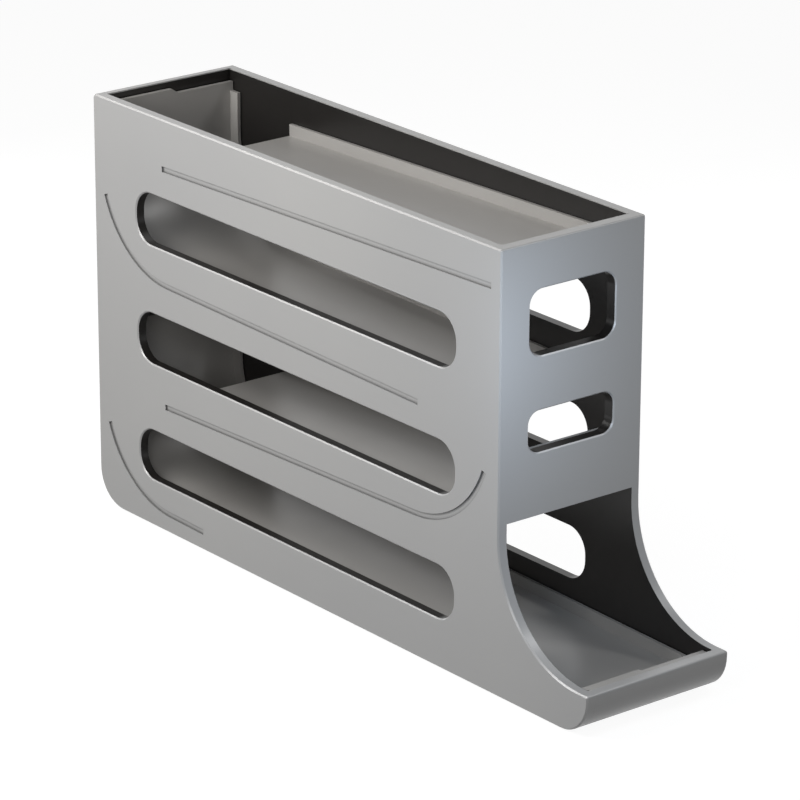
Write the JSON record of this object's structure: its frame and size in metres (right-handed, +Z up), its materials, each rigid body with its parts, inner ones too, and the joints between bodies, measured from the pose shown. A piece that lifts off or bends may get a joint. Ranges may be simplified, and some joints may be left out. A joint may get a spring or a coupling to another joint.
{
  "type": "rolling egg dispenser",
  "caption": "Tall narrow gravity-fed egg dispenser: sloping slides in a windowed case, open at the top, with a curved exit and a lipped tray at the front.",
  "frame": {"origin": "on the surface the dispenser stands on, under the middle of its overall length and width", "axes": "+X towards the exit tray at the front, +Y towards the right side as seen from the front, +Z up"},
  "size_m": [0.377, 0.085, 0.215],
  "materials": {
    "case": "satin silver-grey moulded plastic",
    "slide": "smooth grey moulded plastic",
    "foot": "soft matt anti-slip pad"
  },
  "bodies": {
    "root": {"left_side_panel": "case", "right_side_panel": "case", "front_panel": "case", "rear_panel": "case", "floor_tray": "case", "top_slide": "slide", "second_slide": "slide", "third_slide": "slide", "bottom_slide": "slide", "rear_left_foot": "foot", "rear_right_foot": "foot", "front_left_foot": "foot", "front_right_foot": "foot"}
  },
  "joints": []
}
